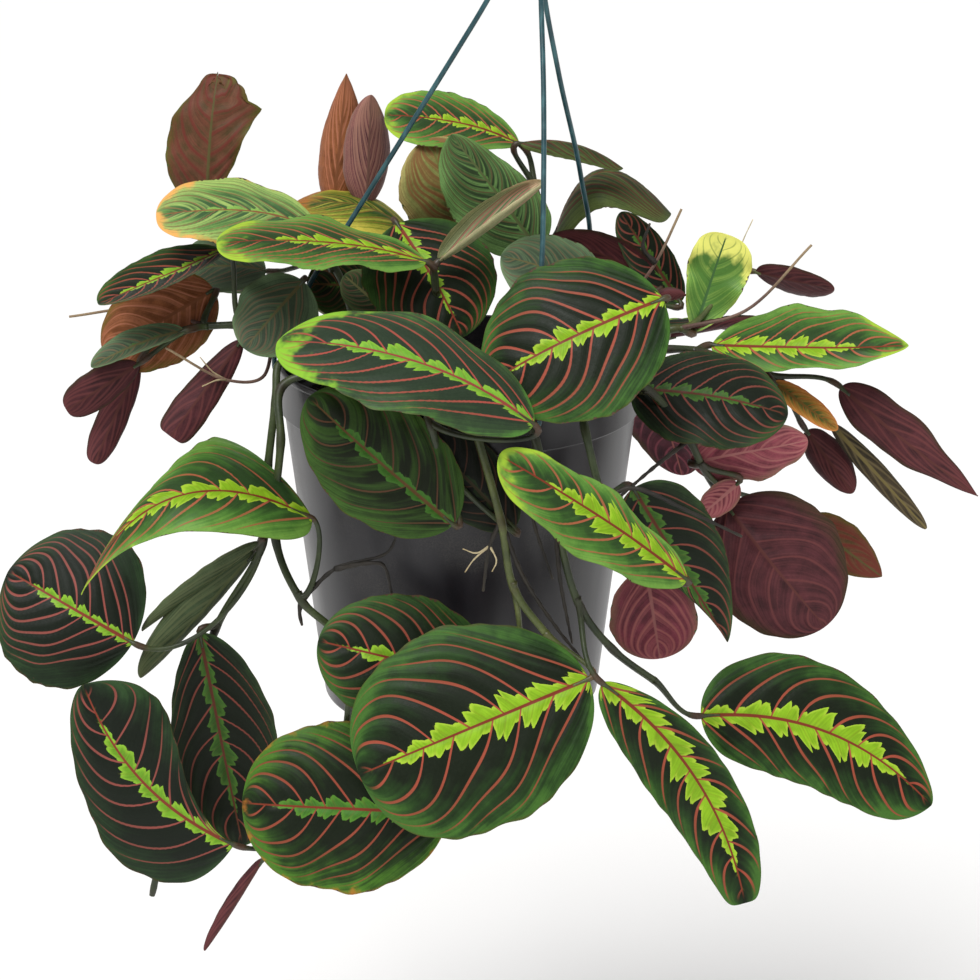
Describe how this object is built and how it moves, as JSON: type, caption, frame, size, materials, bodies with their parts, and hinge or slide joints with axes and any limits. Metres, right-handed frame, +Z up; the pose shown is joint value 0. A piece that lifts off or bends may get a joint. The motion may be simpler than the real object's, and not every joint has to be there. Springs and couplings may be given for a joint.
{
  "type": "hanging prayer plant",
  "caption": "Prayer plant with broad red-veined leaves on soft stems that trail over the rim of a tapered plastic pot, hung from a hook by stiff wires.",
  "frame": {"origin": "top of the inside of the hook's bend, where the hook hangs on a rail", "axes": "+Z up along the pull on the hook; +Y away from the side that the picture shows; +X to that side's right"},
  "size_m": [0.4565, 0.3152, 0.5359],
  "materials": {
    "pot": "satin",
    "soil": "matte",
    "wire": "satin",
    "hook": "satin",
    "foliage": "satin"
  },
  "bodies": {
    "root": {"pot": "pot", "soil": "soil", "hook": "hook", "hanger_wire_left": "wire", "hanger_wire_front": "wire", "hanger_wire_right": "wire", "leafy_stem_left_upright": "foliage", "leafy_stem_back_left_furled": "foliage", "leafy_stem_middle_fork": "foliage", "leafy_stem_back_tall": "foliage", "leafy_stem_back_right_arch": "foliage", "leafy_stem_right_upright": "foliage", "leafy_stem_right_pale": "foliage", "leafy_stem_right_long": "foliage", "leafy_stem_right_low": "foliage", "leafy_stem_centre_large": "foliage", "leafy_stem_front_centre": "foliage", "leafy_stem_front_right": "foliage", "leafy_stem_trailing_right": "foliage", "leafy_stem_trailing_front": "foliage", "leafy_stem_trailing_left": "foliage", "leafy_stem_trailing_far_left": "foliage", "leafy_stem_left_low": "foliage", "leafy_stem_back_left": "foliage", "leafy_stem_back_middle_left": "foliage", "leafy_stem_back_middle_right": "foliage", "leafy_stem_back_right": "foliage"}
  },
  "joints": []
}
